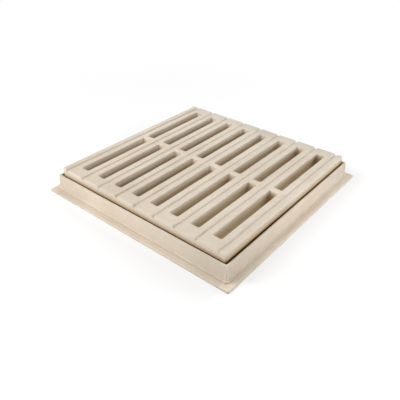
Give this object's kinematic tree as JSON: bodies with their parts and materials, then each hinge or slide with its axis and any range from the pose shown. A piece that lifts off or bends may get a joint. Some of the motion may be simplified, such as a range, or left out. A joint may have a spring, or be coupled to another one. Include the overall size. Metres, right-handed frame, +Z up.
{
  "type": "gully grate",
  "caption": "Square moulded plastic gully grate with rows of long drainage slots, resting in a flanged frame with a raised rim.",
  "frame": {"origin": "centre of the frame's underside, on the surface that it stands on", "axes": "+Z up out of the grate's top, +Y along the slots, +X across them"},
  "size_m": [0.2992, 0.2992, 0.0347],
  "materials": {
    "frame_plastic": "sand-coloured moulded plastic, satin",
    "grate_plastic": "sand-coloured moulded plastic, satin"
  },
  "bodies": {
    "root": {"frame": "frame_plastic", "grate": "grate_plastic"}
  },
  "joints": []
}
